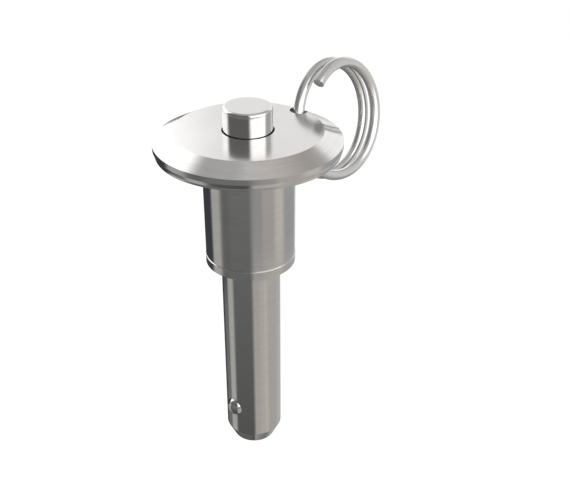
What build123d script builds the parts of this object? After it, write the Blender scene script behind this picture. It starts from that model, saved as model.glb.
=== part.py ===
from build123d import *
import math
import os

# Ball lock pin: a mushroom handle with a push button, a shank with two locking balls
# and a split ring through the rim of the handle.
# Millimetres, +Z up. The origin is on the pin's axis, in the face of the shoulder that
# seats on the work. The balls and the ring's hole lie on the X axis, the ring on its +X side.

# Shank
shank_diameter = 10.0
ball_depth = 29.6
tip_length = 8.0
tip_chamfer_width = 1.25
tip_chamfer_height = 2.6
end_wall = 2.2
collar_step = 0.05
collar_height = 1.6
collar_top_break = 0.12
spigot_diameter = 10.6
spigot_length = 7.4

# Handle, one turned piece of hub and disc
hub_diameter = 15.0
disc_diameter = 30.2
handle_height = 23.4
bevel_width = 3.1
bevel_height = 1.57
rim_height = 0.88
rim_taper_width = 0.3
rim_taper_height = 0.69
lip_height = 0.4
lip_round = 0.12
root_round = 0.8
edge_break = 0.12
web_thickness = 2.2

# Push button and its spindle
button_diameter = 7.95
button_clearance = 0.225
button_stand = 3.95
button_edge_round = 0.45
flange_thickness = 1.6
flange_clearance = 0.25
pilot_wall = 1.0
pilot_length = 1.5
press_travel = 3.0
press_end_clearance = 0.4
rod_step = 0.5
socket_depth = 5.0
guide_length = 8.0
spindle_edge = 0.3
running_clearance = 0.05

# Locking balls
ball_diameter = 3.5
ball_stand = 1.0
ball_hole_clearance = 0.03
ball_gap = 0.02

# Return spring
spring_wire = 0.7
spring_turns = 7
spring_ground = 0.2
spring_pilot_clearance = 0.25

# Split ring and its hole in the disc
ring_wire = 1.8
ring_mean_diameter = 19.35
ring_pitch = 2.65
ring_lean = 11.9
ring_swing = 4.5
ring_rise = 14.7
ring_lower_end = -500.0
ring_upper_end = 126.5
ring_end_break = 0.15
ring_hole_diameter = 3.2
ring_hole_inset = 0.45
ring_hole_sink = 1.25
strand_set_in = 0.34
strand_set_back = 0.14
strand_set_up = 0.06

# Radii and heights that follow from the sizes above
shank_radius = shank_diameter / 2
tip_radius = shank_radius - tip_chamfer_width
tip_z = -(ball_depth + tip_length)
ball_z = -ball_depth
hub_radius = hub_diameter / 2
collar_radius = hub_radius + collar_step
disc_radius = disc_diameter / 2
flat_radius = disc_radius - bevel_width
chamber_radius = spigot_diameter / 2
bevel_z = handle_height - bevel_height
rim_z = bevel_z - rim_height
lip_z = rim_z - rim_taper_height
lip_radius = disc_radius - rim_taper_width
underside_z = lip_z - lip_height
web_z = handle_height - web_thickness
spigot_z = collar_height + spigot_length
button_radius = button_diameter / 2
button_hole_radius = button_radius + button_clearance
button_z = handle_height + button_stand
flange_radius = chamber_radius - flange_clearance
flange_z = web_z - flange_thickness
socket_z = flange_z + socket_depth
ball_radius = ball_diameter / 2
land_radius = shank_radius + ball_stand - ball_diameter
rod_radius = land_radius - rod_step
pilot_radius = rod_radius + pilot_wall
bore_radius = land_radius + running_clearance
bore_z = tip_z + end_wall
spindle_z = bore_z + press_end_clearance + press_travel
ball_locked_x = land_radius + ball_radius
ball_hole_radius = ball_radius + ball_hole_clearance
ring_hole_x = flat_radius - ring_hole_inset


def turned(outline):
    """A solid turned about the Z axis from (radius, height) points."""
    face = make_face(Polyline(*outline, close=True))
    return revolve(Plane.XZ * face, Axis.Z)


def round_edges(solid, radius, height):
    """The circular edges of a turned solid at one radius and height."""
    near = 0.001
    edges = solid.edges().filter_by(GeomType.CIRCLE)
    edges = edges.filter_by(lambda edge: abs(edge.radius - radius) < near)
    return edges.filter_by(lambda edge: abs(edge.arc_center.Z - height) < near)


def make_handle():
    """Hub and disc in one piece, with the chamber for the button and the ring's hole."""
    handle = turned([
        (chamber_radius, collar_height),
        (hub_radius - edge_break, collar_height),
        (hub_radius, collar_height + edge_break),
        (hub_radius, underside_z),
        (lip_radius, underside_z),
        (lip_radius, lip_z),
        (disc_radius, rim_z),
        (disc_radius, bevel_z),
        (flat_radius, handle_height),
        (button_hole_radius, handle_height),
        (button_hole_radius, web_z),
        (chamber_radius, web_z),
    ])
    handle = fillet(round_edges(handle, hub_radius, underside_z), root_round)
    handle = fillet(round_edges(handle, lip_radius, underside_z), lip_round)
    through = handle_height - underside_z
    hole = Cylinder(ring_hole_diameter / 2, 2 * through)
    sink = Cone(
        ring_hole_diameter / 2 + 2 * ring_hole_sink,
        ring_hole_diameter / 2,
        2 * ring_hole_sink,
    )
    handle -= Pos(ring_hole_x, 0, underside_z + through / 2) * hole
    handle -= Pos(ring_hole_x, 0, underside_z) * sink
    return handle


def make_shank():
    """Shank with its collar, the spigot pressed into the handle, and the two ball holes."""
    shank = turned([
        (0, tip_z),
        (tip_radius, tip_z),
        (shank_radius, tip_z + tip_chamfer_height),
        (shank_radius, 0),
        (collar_radius - edge_break, 0),
        (collar_radius, edge_break),
        (collar_radius, collar_height - collar_top_break),
        (collar_radius - collar_top_break, collar_height),
        (chamber_radius, collar_height),
        (chamber_radius, spigot_z),
        (bore_radius, spigot_z),
        (bore_radius, bore_z),
        (0, bore_z),
    ])
    for side in (-1, 1):
        bore = Rot(0, 90, 0) * Cylinder(ball_hole_radius, ball_locked_x)
        shank -= Pos(side * ball_locked_x / 2, 0, ball_z) * bore
        shank -= Pos(side * ball_locked_x, 0, ball_z) * Sphere(ball_hole_radius)
    return shank


def make_ball(side):
    """One locking ball, held out by the spindle's land."""
    return Pos(side * ball_locked_x, 0, ball_z) * Sphere(ball_radius)


def make_push_button():
    """Button with the flange that stops under the web and the pilot for the spring."""
    button = turned([
        (0, flange_z - pilot_length),
        (pilot_radius, flange_z - pilot_length),
        (pilot_radius, flange_z),
        (flange_radius, flange_z),
        (flange_radius, web_z),
        (button_radius, web_z),
        (button_radius, button_z),
        (0, button_z),
    ])
    button = fillet(round_edges(button, button_radius, button_z), button_edge_round)
    socket_height = socket_depth + pilot_length
    socket = Cylinder(rod_radius, socket_height)
    return button - Pos(0, 0, socket_z - socket_height / 2) * socket


def make_spindle():
    """Spindle with the land that holds the balls out, the ramp and neck that let them in.

    The balls go in by as much as they stand out, in step with the button.
    """
    slope = ball_stand / press_travel
    reach = ball_radius * math.hypot(1, slope) + ball_gap
    neck_radius = land_radius - ball_stand - ball_gap
    ramp_start = ball_z + (ball_locked_x - land_radius - reach) / slope
    ramp_end = ball_z + (ball_locked_x - neck_radius - reach) / slope
    neck_z = ball_z + press_travel + ball_radius + running_clearance
    shoulder_z = neck_z + rod_radius - neck_radius
    guide_z = spigot_z - guide_length
    return turned([
        (0, spindle_z),
        (land_radius - spindle_edge, spindle_z),
        (land_radius, spindle_z + spindle_edge),
        (land_radius, ramp_start),
        (neck_radius, ramp_end),
        (neck_radius, neck_z),
        (rod_radius, shoulder_z),
        (rod_radius, guide_z),
        (land_radius, guide_z + land_radius - rod_radius),
        (land_radius, spigot_z),
        (rod_radius, spigot_z),
        (rod_radius, socket_z - spindle_edge),
        (rod_radius - spindle_edge, socket_z),
        (0, socket_z),
    ])


def wound(pitch, turns, mean_radius, wire):
    """Round wire wound up the Z axis from the X axis, in spans of up to a quarter turn."""
    spans = math.ceil(4 * turns)
    rise = pitch * turns / spans
    sweep_angle = 360 * turns / spans
    span = Helix(pitch, rise, mean_radius)
    path = Wire([Pos(0, 0, i * rise) * Rot(0, 0, i * sweep_angle) * span for i in range(spans)])
    section = Plane(origin=path @ 0, z_dir=path % 0) * Circle(wire / 2)
    return sweep(section, path=path, is_frenet=True)


def make_return_spring():
    """Compression spring between the spigot and the flange, with its ends ground flat."""
    length = flange_z - spigot_z
    mean_radius = pilot_radius + spring_pilot_clearance + spring_wire / 2
    inset = spring_wire / 2 - spring_ground
    pitch = (length - 2 * inset) / spring_turns
    coil = Pos(0, 0, spigot_z + inset) * wound(pitch, spring_turns, mean_radius, spring_wire)
    outer = mean_radius + spring_wire
    return coil & Pos(0, 0, spigot_z + length / 2) * Cylinder(outer, length)


def make_split_ring():
    """Split ring of just under two turns whose rear strand passes through the disc.

    It is made about its hole's axis, leaning back, and then swung about that axis.
    """
    lean = math.radians(ring_lean)
    along = Vector(1, 0, 0)
    axis = Vector(0, -math.cos(lean), math.sin(lean))
    across = axis.cross(along)

    def spoke(angle):
        return along * math.cos(math.radians(angle)) + across * math.sin(math.radians(angle))

    at_hole = -180 - ring_rise
    middle_z = (underside_z + handle_height) / 2
    in_hole = Vector(-strand_set_in, -strand_set_back, middle_z + strand_set_up)
    mean_radius = ring_mean_diameter / 2
    centre = in_hole - spoke(at_hole) * mean_radius - axis * (ring_pitch * at_hole / 360)
    turns = (ring_upper_end - ring_lower_end) / 360
    start = Plane(
        origin=centre + axis * (ring_pitch * ring_lower_end / 360),
        x_dir=spoke(ring_lower_end),
        z_dir=axis,
    )
    ring = start * wound(ring_pitch, turns, mean_radius, ring_wire)
    cut_ends = ring.faces().filter_by(GeomType.PLANE)
    ring = chamfer(cut_ends.edges(), ring_end_break)
    return Pos(ring_hole_x, 0, 0) * Rot(0, 0, ring_swing) * ring


pieces = {
    "handle": make_handle(),
    "shank": make_shank(),
    "push_button": make_push_button(),
    "spindle": make_spindle(),
    "return_spring": make_return_spring(),
    "locking_ball_left": make_ball(-1),
    "locking_ball_right": make_ball(1),
    "split_ring": make_split_ring(),
}

os.makedirs("parts", exist_ok=True)
for name, piece in pieces.items():
    export_step(piece, f"parts/{name}.step")
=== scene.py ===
import bmesh
import bpy
import math
from mathutils import Matrix, Vector

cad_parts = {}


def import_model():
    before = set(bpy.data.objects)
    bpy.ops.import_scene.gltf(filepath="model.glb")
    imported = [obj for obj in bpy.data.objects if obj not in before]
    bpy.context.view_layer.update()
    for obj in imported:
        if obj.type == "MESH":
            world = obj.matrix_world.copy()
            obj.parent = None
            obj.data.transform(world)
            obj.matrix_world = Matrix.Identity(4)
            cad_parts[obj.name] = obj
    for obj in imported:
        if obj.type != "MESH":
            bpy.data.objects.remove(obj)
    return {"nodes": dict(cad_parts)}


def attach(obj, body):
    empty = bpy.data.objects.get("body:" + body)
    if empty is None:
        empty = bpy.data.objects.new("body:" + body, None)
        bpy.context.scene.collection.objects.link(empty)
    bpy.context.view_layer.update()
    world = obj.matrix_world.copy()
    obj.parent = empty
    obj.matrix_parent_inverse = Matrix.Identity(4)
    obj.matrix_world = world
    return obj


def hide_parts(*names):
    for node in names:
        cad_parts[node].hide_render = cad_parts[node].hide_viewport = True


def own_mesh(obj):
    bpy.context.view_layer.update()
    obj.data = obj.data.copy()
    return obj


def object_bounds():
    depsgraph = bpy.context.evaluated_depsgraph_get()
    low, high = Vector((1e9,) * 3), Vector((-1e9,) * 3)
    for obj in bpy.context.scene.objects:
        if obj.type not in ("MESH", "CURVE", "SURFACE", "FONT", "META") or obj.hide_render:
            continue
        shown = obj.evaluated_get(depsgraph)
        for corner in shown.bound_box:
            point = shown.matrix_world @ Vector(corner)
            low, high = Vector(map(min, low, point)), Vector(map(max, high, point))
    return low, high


# Ball lock pin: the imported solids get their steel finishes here, and the split ring and the
# return spring are wound as finer wire. Metres, in the part's own frame: +Z along the pin from
# the tip to the button, the balls and the ring's hole on X.

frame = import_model()
nodes = frame["nodes"]
cad_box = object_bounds()
scene = bpy.context.scene

# Camera, fitted to the photograph's outlines
photo_width = 570
focal_length_px = 895.0
sensor_width_mm = 36.0
camera_azimuth = -45.0
camera_elevation = 30.29
camera_distance = 0.151415
camera_target = Vector((0.004129, -0.004069, 0.001203))

# Handle, shank and button, as in the part's source
mm = 0.001
handle_top = 23.4 * mm
bevel_foot = 21.83 * mm
rim_underside = 19.86 * mm
collar_top = 1.6 * mm
collar_top_break = 0.12 * mm
shoulder = 0.0
chamfer_start = -35.0 * mm
button_top = 27.35 * mm

# Split ring, as in the part's source
ring_wire = 1.8 * mm
ring_mean_diameter = 19.35 * mm
ring_pitch = 2.65 * mm
ring_lean = 11.9
ring_swing = 4.5
ring_rise = 14.7
ring_lower_end = -500.0
ring_upper_end = 126.5
ring_end_break = 0.15 * mm
ring_hole_x = 11.55 * mm
strand_set_in = 0.34 * mm
strand_set_back = 0.14 * mm
strand_set_up = 0.06 * mm

# Return spring, as in the part's source
spring_foot = 9.0 * mm
spring_head = 19.6 * mm
spring_wire = 0.7 * mm
spring_turns = 7
spring_ground = 0.2 * mm
spring_mean_diameter = 7.2 * mm

# End edges of the spring's wire, which the part's source leaves sharp
spring_end_break = 0.05 * mm

# Steel colours
bright_steel = (0.79, 0.783, 0.772)
worked_steel = (0.72, 0.712, 0.70)
hard_steel = (0.60, 0.60, 0.61)
wire_steel = (0.71, 0.702, 0.69)
wire_line_steel = (0.67, 0.662, 0.65)
sheared_steel = (0.52, 0.51, 0.50)


def link(tree, source, target):
    """Joins one output socket to one input socket."""
    tree.links.new(source, target)


def feed(tree, socket, value):
    """Gives a socket a plain number or another node's output."""
    if isinstance(value, (int, float)):
        socket.default_value = value
    else:
        link(tree, value, socket)


def new_material(name):
    """A material with an empty node tree, and the tree's output."""
    material = bpy.data.materials.new(name)
    material.use_nodes = True
    tree = material.node_tree
    tree.nodes.clear()
    return material, tree, tree.nodes.new("ShaderNodeOutputMaterial")


def calc(tree, operation, *values):
    """A Math node on sockets or plain numbers."""
    node = tree.nodes.new("ShaderNodeMath")
    node.operation = operation
    for socket, value in zip(node.inputs, values):
        feed(tree, socket, value)
    return node.outputs[0]


def ramp(tree, value, start, end, at_start=0.0, at_end=1.0, smooth=True):
    """Goes from one level to another while a value goes from start to end."""
    node = tree.nodes.new("ShaderNodeMapRange")
    node.interpolation_type = "SMOOTHSTEP" if smooth else "LINEAR"
    link(tree, value, node.inputs["Value"])
    node.inputs["From Min"].default_value = start
    node.inputs["From Max"].default_value = end
    node.inputs["To Min"].default_value = at_start
    node.inputs["To Max"].default_value = at_end
    return node.outputs["Result"]


def blend_colour(tree, factor, first, second):
    """Mixes two colours, each a tuple or a socket."""
    node = tree.nodes.new("ShaderNodeMix")
    node.data_type = "RGBA"
    feed(tree, node.inputs["Factor"], factor)
    for socket, colour in ((node.inputs["A"], first), (node.inputs["B"], second)):
        if isinstance(colour, tuple):
            socket.default_value = (*colour, 1.0)
        else:
            link(tree, colour, socket)
    return node.outputs["Result"]


def vector_of(tree, x, y, z):
    """A vector from three sockets or numbers."""
    node = tree.nodes.new("ShaderNodeCombineXYZ")
    for socket, value in zip(node.inputs, (x, y, z)):
        feed(tree, socket, value)
    return node.outputs[0]


def split_vector(tree, vector):
    """The three parts of a vector socket."""
    node = tree.nodes.new("ShaderNodeSeparateXYZ")
    link(tree, vector, node.inputs[0])
    return node.outputs


def noise(tree, vector, scale, detail, roughness):
    """Noise on a vector socket, about 0.5."""
    node = tree.nodes.new("ShaderNodeTexNoise")
    node.inputs["Scale"].default_value = scale
    node.inputs["Detail"].default_value = detail
    node.inputs["Roughness"].default_value = roughness
    link(tree, vector, node.inputs["Vector"])
    return node.outputs["Fac"]


def object_place(tree):
    """Object coordinates, with the radius from the pin's axis."""
    place = tree.nodes.new("ShaderNodeTexCoord").outputs["Object"]
    x, y, z = split_vector(tree, place)
    square = calc(tree, "ADD", calc(tree, "MULTIPLY", x, x), calc(tree, "MULTIPLY", y, y))
    return place, x, y, z, calc(tree, "SQRT", square)


def turned_lines(tree, x, y, z, radius, spacing, arc):
    """Fine lines round the pin's axis, as a tool leaves them; arc sets how far each one runs."""
    safe_radius = calc(tree, "MAXIMUM", radius, 0.1 * mm)
    across = calc(tree, "SUBTRACT", radius, z)
    turn_x = calc(tree, "MULTIPLY", calc(tree, "DIVIDE", x, safe_radius), 1.0 / arc)
    turn_y = calc(tree, "MULTIPLY", calc(tree, "DIVIDE", y, safe_radius), 1.0 / arc)
    spot = vector_of(tree, turn_x, turn_y, calc(tree, "DIVIDE", across, spacing))
    return noise(tree, spot, scale=1.0, detail=4.0, roughness=0.62)


def steel_shader(tree, output, anisotropy):
    """A metal shader whose highlights spread across the tool lines."""
    shader = tree.nodes.new("ShaderNodeBsdfPrincipled")
    shader.inputs["Metallic"].default_value = 1.0
    shader.inputs["Anisotropic"].default_value = anisotropy
    shader.inputs["Anisotropic Rotation"].default_value = 0.25
    if anisotropy:
        tangent = tree.nodes.new("ShaderNodeTangent")
        tangent.direction_type = "RADIAL"
        tangent.axis = "Z"
        link(tree, tangent.outputs[0], shader.inputs["Tangent"])
    link(tree, shader.outputs[0], output.inputs["Surface"])
    return shader


def add_bump(tree, shader, height, depth):
    """Raises the surface by up to depth where the height is 1."""
    bump = tree.nodes.new("ShaderNodeBump")
    bump.inputs["Strength"].default_value = 1.0
    bump.inputs["Distance"].default_value = depth
    link(tree, height, bump.inputs["Height"])
    link(tree, bump.outputs[0], shader.inputs["Normal"])


def turned_steel(name, light, dark, roughness, spread, spacing, depth, anisotropy, finish=None):
    """Turned or ground steel: lines round the axis that vary its colour, its gloss and its height.

    finish(tree, z) gives how rough each part of the piece is against the rest, and how strongly
    the lines show there.
    """
    material, tree, output = new_material(name)
    shader = steel_shader(tree, output, anisotropy)
    place, x, y, z, radius = object_place(tree)
    fine = turned_lines(tree, x, y, z, radius, spacing, arc=0.35)
    broad = turned_lines(tree, x, y, z, radius, 6.0 * spacing, arc=0.8)
    cloudy = noise(tree, place, scale=210.0, detail=4.0, roughness=0.55)
    both = calc(tree, "ADD", calc(tree, "MULTIPLY", fine, 0.6), calc(tree, "MULTIPLY", broad, 0.4))
    gloss_share, line_share = finish(tree, z) if finish else (1.0, 1.0)
    lines = calc(tree, "MULTIPLY", calc(tree, "SUBTRACT", both, 0.5), line_share)
    tone = calc(tree, "MULTIPLY", ramp(tree, lines, -0.16, 0.16), ramp(tree, cloudy, 0.25, 0.75, 0.55, 1.0))
    link(tree, blend_colour(tree, tone, light, dark), shader.inputs["Base Color"])
    gloss = calc(tree, "ADD", ramp(tree, lines, -0.2, 0.2, roughness - spread, roughness + spread),
                 ramp(tree, cloudy, 0.35, 0.8, 0.0, spread))
    link(tree, calc(tree, "MULTIPLY", gloss, gloss_share), shader.inputs["Roughness"])
    add_bump(tree, shader, lines, depth)
    return material


def step_at(tree, z, height, below, above):
    """One level below a height and another above it."""
    half_step = 0.03 * mm
    return ramp(tree, z, height - half_step, height + half_step, below, above)


def handle_finish(tree, z):
    """The bevel and the rim are coarse cuts, the flat top is a fine one whose lines hardly show."""
    flat_top = handle_top - 0.05 * mm
    rim_foot = rim_underside - 0.5 * mm
    gloss = calc(tree, "MULTIPLY", step_at(tree, z, bevel_foot, 1.0, 1.35),
                 step_at(tree, z, flat_top, 1.0, 0.95))
    rim_lines = step_at(tree, z, rim_foot, 1.0, 1.4)
    top_lines = step_at(tree, z, flat_top, 1.0, 0.2)
    return gloss, calc(tree, "MULTIPLY", rim_lines, top_lines)


def shank_finish(tree, z):
    """The ground shank is finer than its tip and collar, and the collar's top edge is filed."""
    tip = step_at(tree, z, chamfer_start, 1.3, 1.0)
    collar = step_at(tree, z, shoulder, 1.0, 1.15)
    edge = step_at(tree, z, collar_top - collar_top_break, 1.0, 2.2)
    gloss = calc(tree, "MULTIPLY", calc(tree, "MULTIPLY", tip, collar), edge)
    return gloss, step_at(tree, z, shoulder, 1.0, 1.3)


def button_finish(tree, z):
    """The button's face and its rounded edge are brighter than its side."""
    face = button_top - 0.5 * mm
    return step_at(tree, z, face, 1.0, 0.8), step_at(tree, z, face, 1.0, 0.5)


def polished_steel(name):
    """A hard bearing ball: mirror bright, with hair scratches."""
    material, tree, output = new_material(name)
    shader = steel_shader(tree, output, 0.0)
    place = object_place(tree)[0]
    scratches = noise(tree, place, scale=5200.0, detail=2.0, roughness=0.5)
    cloudy = noise(tree, place, scale=900.0, detail=3.0, roughness=0.5)
    link(tree, blend_colour(tree, ramp(tree, cloudy, 0.35, 0.7), bright_steel, worked_steel),
         shader.inputs["Base Color"])
    link(tree, ramp(tree, scratches, 0.35, 0.75, 0.03, 0.09), shader.inputs["Roughness"])
    add_bump(tree, shader, scratches, 0.0001 * mm)
    return material


def wire_noise(tree, around, length, fineness, run, detail):
    """Noise on a wire's surface: fineness sets how narrow its spots are, and run how long."""
    cosine, sine = split_vector(tree, around)[:2]
    across = calc(tree, "MULTIPLY", cosine, fineness)
    up = calc(tree, "MULTIPLY", sine, fineness)
    spot = vector_of(tree, across, up, calc(tree, "DIVIDE", length, run))
    return noise(tree, spot, scale=1.0, detail=detail, roughness=0.5)


def drawn_wire(name, light, dark, roughness, depth):
    """Bright drawn wire: hair lines along the wire, and faint marks of the winding across it."""
    material, tree, output = new_material(name)
    shader = steel_shader(tree, output, 0.0)
    around = tree.nodes.new("ShaderNodeAttribute")
    around.attribute_name = "around"
    along = tree.nodes.new("ShaderNodeAttribute")
    along.attribute_name = "along"
    cut = tree.nodes.new("ShaderNodeAttribute")
    cut.attribute_name = "cut_end"
    places = (around.outputs["Vector"], along.outputs["Fac"])
    drawn = wire_noise(tree, *places, fineness=5.0, run=8.0 * mm, detail=2.0)
    marks = wire_noise(tree, *places, fineness=0.6, run=2.5 * mm, detail=1.0)
    tone = calc(tree, "MULTIPLY", ramp(tree, drawn, 0.32, 0.7), ramp(tree, marks, 0.3, 0.7, 0.5, 1.0))
    sheared = ramp(tree, cut.outputs["Fac"], 0.9, 0.99)
    steel = blend_colour(tree, tone, light, dark)
    link(tree, blend_colour(tree, sheared, steel, sheared_steel), shader.inputs["Base Color"])
    gloss = calc(tree, "ADD", ramp(tree, drawn, 0.3, 0.7, 0.9 * roughness, 1.1 * roughness),
                 ramp(tree, marks, 0.4, 0.7, 0.0, 0.2 * roughness))
    gloss = calc(tree, "ADD", gloss, calc(tree, "MULTIPLY", sheared, 0.3))
    link(tree, gloss, shader.inputs["Roughness"])
    add_bump(tree, shader, calc(tree, "ADD", calc(tree, "MULTIPLY", drawn, 0.5), marks), depth)
    return material


def dress(node, material):
    """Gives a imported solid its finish."""
    mesh = nodes[node].data
    mesh.materials.clear()
    mesh.materials.append(material)


dress("handle", turned_steel(
    "handle_turned_steel", bright_steel, worked_steel, roughness=0.12, spread=0.03,
    spacing=0.16 * mm, depth=0.0012 * mm, anisotropy=0.6, finish=handle_finish))
dress("shank", turned_steel(
    "shank_ground_steel", bright_steel, worked_steel, roughness=0.11, spread=0.03,
    spacing=0.11 * mm, depth=0.0008 * mm, anisotropy=0.6, finish=shank_finish))
dress("push_button", turned_steel(
    "button_turned_steel", bright_steel, worked_steel, roughness=0.07, spread=0.02,
    spacing=0.12 * mm, depth=0.0005 * mm, anisotropy=0.4, finish=button_finish))
dress("spindle", turned_steel(
    "spindle_ground_steel", worked_steel, hard_steel, roughness=0.16, spread=0.03,
    spacing=0.1 * mm, depth=0.001 * mm, anisotropy=0.5))
ball_steel = polished_steel("ball_polished_steel")
dress("locking_ball_left", ball_steel)
dress("locking_ball_right", ball_steel)


class GeometryTree:
    """A geometry node tree in the making, with named inputs."""

    def __init__(self, name):
        self.tree = bpy.data.node_groups.new(name, "GeometryNodeTree")
        self.entry = self.tree.nodes.new("NodeGroupInput")
        self.tree.interface.new_socket("Geometry", in_out="OUTPUT", socket_type="NodeSocketGeometry")

    def inlet(self, name, kind):
        """A named input of the tree: Float, Int or Material."""
        self.tree.interface.new_socket(name, in_out="INPUT", socket_type="NodeSocket" + kind)
        return self.entry.outputs[name]

    def add(self, kind, **inputs):
        """A node of a kind, its inputs given by socket name with spaces as underscores."""
        node = self.tree.nodes.new(kind)
        for name, value in inputs.items():
            self.set_input(node.inputs[name.replace("_", " ")], value)
        return node

    def set_input(self, socket, value):
        """Feeds a socket from another node's output or with a plain value."""
        if isinstance(value, bpy.types.NodeSocket):
            self.tree.links.new(value, socket)
        else:
            socket.default_value = value

    def calc(self, operation, *values):
        """A Math node on sockets or plain numbers."""
        node = self.tree.nodes.new("ShaderNodeMath")
        node.operation = operation
        for socket, value in zip(node.inputs, values):
            self.set_input(socket, value)
        return node.outputs[0]

    def vector(self, x, y, z):
        """A vector from three sockets or numbers."""
        return self.add("ShaderNodeCombineXYZ", X=x, Y=y, Z=z).outputs[0]

    def keep(self, geometry, name, kind, value):
        """Stores a value on the points under a name, for the materials."""
        node = self.add("GeometryNodeStoreNamedAttribute", Geometry=geometry)
        node.data_type = kind
        node.inputs["Name"].default_value = name
        self.set_input(node.inputs["Value"], value)
        return node.outputs[0]

    def end(self, geometry, material):
        """Closes the tree: real mesh, with its material."""
        real = self.add("GeometryNodeRealizeInstances", Geometry=geometry)
        dressed = self.add("GeometryNodeSetMaterial", Geometry=real.outputs[0], Material=material)
        outlet = self.tree.nodes.new("NodeGroupOutput")
        self.tree.links.new(dressed.outputs[0], outlet.inputs[0])


def wound_wire_tree():
    """Round wire wound about the Z axis, with broken end edges, and ground flat at two heights."""
    tree = GeometryTree("wound_wire")
    first = tree.inlet("First angle", "Float")
    last = tree.inlet("Last angle", "Float")
    mean_radius = tree.inlet("Mean radius", "Float")
    pitch = tree.inlet("Pitch", "Float")
    wire_radius = tree.inlet("Wire radius", "Float")
    end_break = tree.inlet("End break", "Float")
    lowest = tree.inlet("Lowest", "Float")
    highest = tree.inlet("Highest", "Float")
    points = tree.inlet("Points", "Int")
    sides = tree.inlet("Sides", "Int")
    material = tree.inlet("Material", "Material")

    # The wire's path: its first and last step are as long as the break of the end edges
    index = tree.tree.nodes.new("GeometryNodeInputIndex").outputs[0]
    final = tree.calc("SUBTRACT", points, 1.0)
    break_angle = tree.calc("DIVIDE", end_break, mean_radius)
    inner = tree.calc("SUBTRACT", tree.calc("SUBTRACT", last, first), tree.calc("MULTIPLY", break_angle, 2.0))
    share = tree.calc("DIVIDE", tree.calc("SUBTRACT", index, 1.0), tree.calc("SUBTRACT", final, 2.0))
    at_first = tree.calc("LESS_THAN", index, 0.5)
    at_last = tree.calc("GREATER_THAN", index, tree.calc("SUBTRACT", final, 0.5))
    at_end = tree.calc("ADD", at_first, at_last)
    held = tree.calc("MINIMUM", tree.calc("MAXIMUM", share, 0.0), 1.0)
    angle = tree.calc("ADD", tree.calc("ADD", first, break_angle), tree.calc("MULTIPLY", held, inner))
    angle = tree.calc("SUBTRACT", angle, tree.calc("MULTIPLY", at_first, break_angle))
    angle = tree.calc("ADD", angle, tree.calc("MULTIPLY", at_last, break_angle))
    turn = tree.vector(
        tree.calc("MULTIPLY", mean_radius, tree.calc("COSINE", angle)),
        tree.calc("MULTIPLY", mean_radius, tree.calc("SINE", angle)),
        tree.calc("MULTIPLY", pitch, tree.calc("DIVIDE", angle, 2.0 * math.pi)),
    )
    line = tree.add("GeometryNodeCurvePrimitiveLine")
    path = tree.add("GeometryNodeResampleCurve", Curve=line.outputs[0], Count=points)
    path = tree.add("GeometryNodeSetPosition", Geometry=path.outputs[0], Position=turn)
    ends_in = tree.calc("DIVIDE", tree.calc("MULTIPLY", at_end, end_break), wire_radius)
    thickness = tree.calc("SUBTRACT", 1.0, ends_in)
    path = tree.add("GeometryNodeSetCurveRadius", Curve=path.outputs[0], Radius=thickness)
    path = tree.keep(path.outputs[0], "along", "FLOAT", tree.calc("MULTIPLY", mean_radius, angle))
    path = tree.keep(path, "cut_end", "FLOAT", at_end)

    # The wire's round section
    section = tree.add("GeometryNodeCurvePrimitiveCircle", Radius=wire_radius, Resolution=sides)
    spot = tree.tree.nodes.new("GeometryNodeInputPosition").outputs[0]
    unit = tree.tree.nodes.new("ShaderNodeVectorMath")
    unit.operation = "NORMALIZE"
    tree.set_input(unit.inputs[0], spot)
    section = tree.keep(section.outputs["Curve"], "around", "FLOAT_VECTOR", unit.outputs[0])
    wire = tree.add("GeometryNodeCurveToMesh", Curve=path, Profile_Curve=section, Fill_Caps=True)

    # The grinding of the ends
    place = tree.add("ShaderNodeSeparateXYZ", Vector=spot)
    x, y, z = place.outputs
    ground = tree.calc("MINIMUM", tree.calc("MAXIMUM", z, lowest), highest)
    wire = tree.add("GeometryNodeSetPosition", Geometry=wire.outputs[0], Position=tree.vector(x, y, ground))
    tree.end(wire.outputs[0], material)
    return tree.tree


def grown(tree, name, **values):
    """Runs a geometry tree once and gives its result as an object with a plain mesh.

    Values are given by input name, with spaces as underscores.
    """
    seed = bpy.data.objects.new(name + "_seed", bpy.data.meshes.new(name + "_seed"))
    scene.collection.objects.link(seed)
    modifier = seed.modifiers.new("wound", "NODES")
    modifier.node_group = tree
    for item in tree.interface.items_tree:
        if item.in_out == "INPUT":
            modifier[item.identifier] = values[item.name.replace(" ", "_")]
    ready = seed.evaluated_get(bpy.context.evaluated_depsgraph_get())
    mesh = bpy.data.meshes.new_from_object(ready)
    mesh.name = name
    seed.modifiers.remove(modifier)
    bpy.data.objects.remove(seed)
    piece = bpy.data.objects.new(name, mesh)
    scene.collection.objects.link(piece)
    return piece


def finish_mesh(mesh):
    """Outward faces, smooth round the wire and sharp at its end edges."""
    shape = bmesh.new()
    shape.from_mesh(mesh)
    bmesh.ops.recalc_face_normals(shape, faces=shape.faces)
    shape.to_mesh(mesh)
    shape.free()
    mesh.shade_smooth()
    mesh.set_sharp_from_angle(angle=math.radians(30.0))


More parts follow.
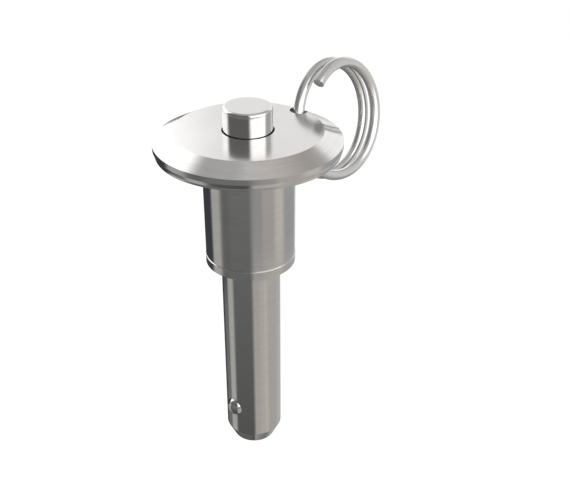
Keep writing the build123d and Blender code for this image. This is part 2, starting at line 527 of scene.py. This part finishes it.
def ring_place():
    """Where the ring's own axis stands: leaning back, then swung about its hole."""
    lean = math.radians(ring_lean)
    at_hole = math.radians(-180.0 - ring_rise)
    along = Vector((1.0, 0.0, 0.0))
    axis = Vector((0.0, -math.cos(lean), math.sin(lean)))
    across = axis.cross(along)
    middle = (rim_underside + handle_top) / 2.0
    in_hole = Vector((-strand_set_in, -strand_set_back, middle + strand_set_up))
    spoke = along * math.cos(at_hole) + across * math.sin(at_hole)
    centre = in_hole - spoke * (ring_mean_diameter / 2.0) - axis * (ring_pitch * at_hole / (2.0 * math.pi))
    turned = Matrix((along, across, axis)).transposed().to_4x4()
    swing = Matrix.Rotation(math.radians(ring_swing), 4, "Z")
    return Matrix.Translation((ring_hole_x, 0.0, 0.0)) @ swing @ Matrix.Translation(centre) @ turned


def split_ring(tree, material):
    """The split ring, just under two turns of round wire."""
    open_height = 1.0
    ring = grown(
        tree, "split_ring_wire",
        First_angle=math.radians(ring_lower_end), Last_angle=math.radians(ring_upper_end),
        Mean_radius=ring_mean_diameter / 2.0, Pitch=ring_pitch, Wire_radius=ring_wire / 2.0,
        End_break=ring_end_break, Lowest=-open_height, Highest=open_height,
        Points=420, Sides=48, Material=material,
    )
    ring.data.transform(ring_place())
    finish_mesh(ring.data)
    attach(ring, "ring")
    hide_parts("split_ring")
    return ring


def return_spring(tree, material):
    """The compression spring in the handle's chamber, with its ends ground flat."""
    inset = spring_wire / 2.0 - spring_ground
    length = spring_head - spring_foot
    start = Matrix.Translation((0.0, 0.0, spring_foot + inset))
    spring = grown(
        tree, "return_spring_wire",
        First_angle=0.0, Last_angle=2.0 * math.pi * spring_turns,
        Mean_radius=spring_mean_diameter / 2.0, Pitch=(length - 2.0 * inset) / spring_turns,
        Wire_radius=spring_wire / 2.0, End_break=spring_end_break, Lowest=-inset, Highest=length - inset,
        Points=680, Sides=24, Material=material,
    )
    spring.data.transform(start)
    finish_mesh(spring.data)
    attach(spring, "pin")
    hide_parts("return_spring")
    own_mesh(spring)


wound_wire = wound_wire_tree()
ring_wire_piece = split_ring(wound_wire, drawn_wire(
    "ring_bright_wire", wire_steel, wire_line_steel, roughness=0.2, depth=0.0003 * mm))
return_spring(wound_wire, drawn_wire(
    "spring_drawn_wire", worked_steel, hard_steel, roughness=0.2, depth=0.001 * mm))

# Light tent. Sides are degrees round the pin, 0 towards the camera and growing to its right,
# heights are degrees above the shoulder. Levels are brightness at a panel's foot and head, and
# the base level is that of the bare cloth. A later panel covers the ones before it.
plain = (1.0, 1.0, 1.0)
cool = (0.985, 1.0, 1.02)
deep_cool = (0.95, 1.0, 1.13)
warm = (1.06, 1.0, 0.935)
straw = (1.05, 1.0, 0.88)
rose = (1.075, 1.0, 0.94)
olive = (1.02, 1.0, 0.955)
pin_tent_radius = 115.0 * mm
pin_tent_base = 0.42
pin_tent_panels = [
    # side from, side to, height from, height to, soft side, soft height, level at foot and head, tint
    ("low_right_front", 4, 32, -95, -28, 5, 4, 0.46, 0.42, warm),
    ("low_right_warm", 32, 48, -95, -28, 6, 4, 0.48, 0.47, warm),
    ("low_right_straw", 48, 68, -95, -28, 7, 4, 0.54, 0.52, straw),
    ("low_right_dim", 68, 112, -95, -28, 8, 4, 0.38, 0.46, warm),
    ("low_right_cool", 112, 150, -95, -28, 8, 4, 0.56, 0.47, plain),
    ("hub_right_front", 4, 34, -28, 6, 6, 4, 0.33, 0.27, plain),
    ("hub_right_middle", 34, 66, -28, 6, 7, 4, 0.37, 0.45, warm),
    ("hub_right_warm", 66, 94, -28, 6, 8, 4, 0.55, 0.51, warm),
    ("hub_right_cool", 94, 150, -28, 6, 8, 4, 0.36, 0.43, cool),
    ("low_right_edge", 150, 182, -60, 6, 8, 3, 0.62, 0.62, plain),
    ("low_left_flag", 182, 257, -95, 6, 6, 3, 0.075, 0.04, deep_cool),
    ("shank_left_dim", 224, 257, -95, -33, 10, 4, 0.2, 0.17, plain),
    ("low_left_strip", -103, -74, -66, 6, 7, 3, 0.46, 0.41, olive),
    ("low_front_flag", -74, 6, -95, 4, 7, 3, 0.03, 0.215, plain),
    ("low_front_dim", -66, -50, -36, 4, 8, 5, 0.14, 0.15, plain),
    ("nadir_left", 180, 285, -95, -66, 10, 6, 0.13, 0.13, plain),
    ("nadir_right", 95, 180, -95, -70, 10, 6, 0.2, 0.2, plain),
    ("back_wall", -181, 181, 5, 47, 1, 4, 0.948, 0.948, plain),
    ("roof", -181, 181, 47, 95, 1, 5, 0.46, 0.46, plain),
    ("roof_back", 135, 220, 47, 72, 10, 6, 0.54, 0.54, plain),
    ("roof_right", 20, 132, 48, 95, 12, 7, 0.26, 0.71, rose),
    ("roof_middle", -181, 181, 86, 95, 1, 4, 0.66, 0.66, plain),
    ("right_back_wall", 133, 162, 4, 44, 10, 7, 1.08, 1.08, plain),
    ("left_back_wall", -166, -136, 6, 46, 9, 4, 1.55, 1.55, plain),
    ("left_wall", -142, -97, 4, 60, 11, 6, 1.55, 1.55, plain),
    ("front_flag", -98, 14, 2, 68, 13, 5, 0.125, 0.2, plain),
    ("right_window", 14, 88, -4, 72, 10, 6, 2.0, 2.0, plain),
    ("window_head", 10, 94, 38, 74, 8, 5, 0.85, 0.65, plain),
    ("right_wall", 88, 126, -2, 52, 8, 6, 0.52, 0.60, plain),
]

# The split ring's own tent, laid out in the same way
ring_tent_radius = 112.0 * mm
ring_tent_base = 0.45
ring_tent_panels = [
    ("roof", -181, 181, 62, 95, 1, 8, 0.52, 0.50, plain),
    ("left_low", 140, 350, -95, -10, 12, 6, 0.20, 0.28, plain),
    ("left_dim", -146, -48, -35, 76, 10, 8, 0.34, 0.22, plain),
    ("left_back_wall", -178, -142, 28, 64, 8, 8, 0.70, 0.50, plain),
    ("right_low", -10, 98, -62, -12, 10, 8, 0.40, 0.70, warm),
    ("right_low_dim", 98, 155, -62, -18, 10, 6, 0.34, 0.42, plain),
    ("right_wall", 84, 150, -18, 58, 10, 8, 0.84, 0.62, plain),
    ("back_wall", 139, 208, -2, 34, 8, 5, 1.4, 1.1, plain),
    ("back_foot", 160, 214, -44, -8, 8, 5, 0.13, 0.13, plain),
    ("front_card", -8, 36, -36, -6, 8, 6, 1.0, 1.2, plain),
    ("window", -8, 86, -6, 60, 8, 6, 2.0, 2.0, plain),
    ("window_foot", 6, 74, -14, 16, 6, 6, 1.4, 1.8, plain),
    ("window_left_foot", -18, 8, -30, 16, 5, 6, 0.40, 0.60, plain),
    ("window_right_foot", 73, 96, -14, 14, 6, 6, 0.62, 0.66, plain),
]


def soft_range(tree, offset, low, high, soft):
    """1 inside a range and 0 outside it, with soft ends; offset is the way from its middle."""
    half = (high - low) / 2.0
    away = calc(tree, "ABSOLUTE", offset)
    return ramp(tree, away, half - soft, half + soft, 1.0, 0.0)


def height_range(tree, height, low, high, soft):
    """Where a panel reaches up and down."""
    return soft_range(tree, calc(tree, "SUBTRACT", height, (low + high) / 2.0), low, high, soft)


def side_range(tree, side, low, high, soft):
    """Where a panel reaches sideways, which may run past the back."""
    offset = calc(tree, "SUBTRACT", side, (low + high) / 2.0)
    return soft_range(tree, calc(tree, "WRAP", offset, 180.0, -180.0), low, high, soft)


def tent_material(name, base, panels, see_through):
    """Glowing cloth whose brightness is laid out in panels over a base level."""
    material, tree, output = new_material(name)
    x, y, z, radius = object_place(tree)[1:]
    angle = calc(tree, "DEGREES", calc(tree, "ARCTAN2", y, x))
    side = calc(tree, "SUBTRACT", angle, camera_azimuth - 90.0)
    height = calc(tree, "DEGREES", calc(tree, "ARCTAN2", z, radius))
    glow = (base, base, base)
    for panel_name, left, right, foot, head, soft_side, soft_height, at_foot, at_head, tint in panels:
        share = calc(tree, "MULTIPLY", side_range(tree, side, left, right, soft_side),
                     height_range(tree, height, foot, head, soft_height))
        lower = tuple(at_foot * part for part in tint)
        upper = tuple(at_head * part for part in tint)
        panel = blend_colour(tree, ramp(tree, height, foot, head, smooth=False), lower, upper)
        glow = blend_colour(tree, share, glow, panel)
        glow.node.label = panel_name
    light = tree.nodes.new("ShaderNodeEmission")
    link(tree, glow, light.inputs["Color"])
    cloth = light.outputs[0]
    if see_through:
        both = tree.nodes.new("ShaderNodeAddShader")
        link(tree, cloth, both.inputs[0])
        link(tree, tree.nodes.new("ShaderNodeBsdfTransparent").outputs[0], both.inputs[1])
        cloth = both.outputs[0]
    link(tree, cloth, output.inputs["Surface"])
    return material


def light_tent(name, radius, material):
    """A tent round the pin, seen only in its reflections."""
    mesh = bpy.data.meshes.new(name)
    shape = bmesh.new()
    bmesh.ops.create_uvsphere(shape, u_segments=96, v_segments=48, radius=radius)
    bmesh.ops.reverse_faces(shape, faces=shape.faces)
    shape.to_mesh(mesh)
    shape.free()
    mesh.materials.append(material)
    tent = bpy.data.objects.new(name, mesh)
    scene.collection.objects.link(tent)
    tent.visible_camera = False
    tent.visible_diffuse = False
    tent.visible_shadow = False
    return tent


def link_light(tent, piece, state):
    """Lets a tent light only one piece, or all but that one."""
    receivers = bpy.data.collections.new(tent.name + "_receivers")
    receivers.objects.link(piece)
    tent.light_linking.receiver_collection = receivers
    for item in receivers.collection_objects:
        item.light_linking.link_state = state


def light_tents(ring):
    """The pin's tent, and one inside it that can be seen through and lights the split ring alone."""
    pin_cloth = tent_material("pin_tent_cloth", pin_tent_base, pin_tent_panels, False)
    ring_cloth = tent_material("ring_tent_cloth", ring_tent_base, ring_tent_panels, True)
    pin_tent = light_tent("pin_tent", pin_tent_radius, pin_cloth)
    ring_tent = light_tent("ring_tent", ring_tent_radius, ring_cloth)
    link_light(pin_tent, ring, "EXCLUDE")
    link_light(ring_tent, ring, "INCLUDE")


def floor():
    """The white floor, well below the pin, which hangs free as it does in the photograph."""
    half_size = 3.0
    drop = 88.0 * mm
    paint_level = 0.98
    white_share = 0.7
    mesh = bpy.data.meshes.new("studio_floor")
    shape = bmesh.new()
    bmesh.ops.create_grid(shape, x_segments=1, y_segments=1, size=half_size)
    bmesh.ops.translate(shape, verts=shape.verts, vec=(0, 0, cad_box[0].z - drop))
    shape.to_mesh(mesh)
    shape.free()
    material, tree, output = new_material("floor_white")
    paint = tree.nodes.new("ShaderNodeBsdfDiffuse")
    paint.inputs["Color"].default_value = (paint_level, paint_level, paint_level, 1.0)
    path = tree.nodes.new("ShaderNodeLightPath")
    mirrored = calc(tree, "MAXIMUM", path.outputs["Is Glossy Ray"], path.outputs["Is Transmission Ray"])
    seen = calc(tree, "MAXIMUM", path.outputs["Is Camera Ray"], mirrored)
    white = tree.nodes.new("ShaderNodeEmission")
    mix = tree.nodes.new("ShaderNodeMixShader")
    link(tree, calc(tree, "MULTIPLY", seen, white_share), mix.inputs[0])
    link(tree, paint.outputs[0], mix.inputs[1])
    link(tree, white.outputs[0], mix.inputs[2])
    link(tree, mix.outputs[0], output.inputs["Surface"])
    mesh.materials.append(material)
    ground = bpy.data.objects.new("studio_floor", mesh)
    scene.collection.objects.link(ground)


def world():
    """A plain white surround."""
    surround = bpy.data.worlds.new("studio_world")
    surround.use_nodes = True
    background = surround.node_tree.nodes["Background"]
    background.inputs["Color"].default_value = (1.0, 1.0, 1.0, 1.0)
    background.inputs["Strength"].default_value = 1.0
    scene.world = surround


def overhead_lamp():
    """One large soft lamp above the tent, which brightens the floor."""
    data = bpy.data.lights.new("overhead_lamp", "AREA")
    data.shape = "DISK"
    data.size = 0.5
    data.energy = 1.2
    lamp = bpy.data.objects.new("overhead_lamp", data)
    lamp.location = (-0.05, 0.05, 0.5)
    lamp.visible_glossy = False
    scene.collection.objects.link(lamp)


def camera():
    """The photograph's camera."""
    data = bpy.data.cameras.new("photo_camera")
    data.sensor_width = sensor_width_mm
    data.lens = focal_length_px / photo_width * sensor_width_mm
    data.clip_start = 0.01
    data.clip_end = 20.0
    azimuth = math.radians(camera_azimuth)
    elevation = math.radians(camera_elevation)
    back = Vector((
        math.sin(azimuth) * math.cos(elevation),
        -math.cos(azimuth) * math.cos(elevation),
        math.sin(elevation),
    ))
    seat = bpy.data.objects.new("photo_camera", data)
    seat.location = camera_target + back * camera_distance
    seat.rotation_euler = (-back).to_track_quat("-Z", "Y").to_euler()
    scene.collection.objects.link(seat)
    scene.camera = seat


light_tents(ring_wire_piece)
floor()
world()
overhead_lamp()
camera()
scene.view_settings.view_transform = "Standard"
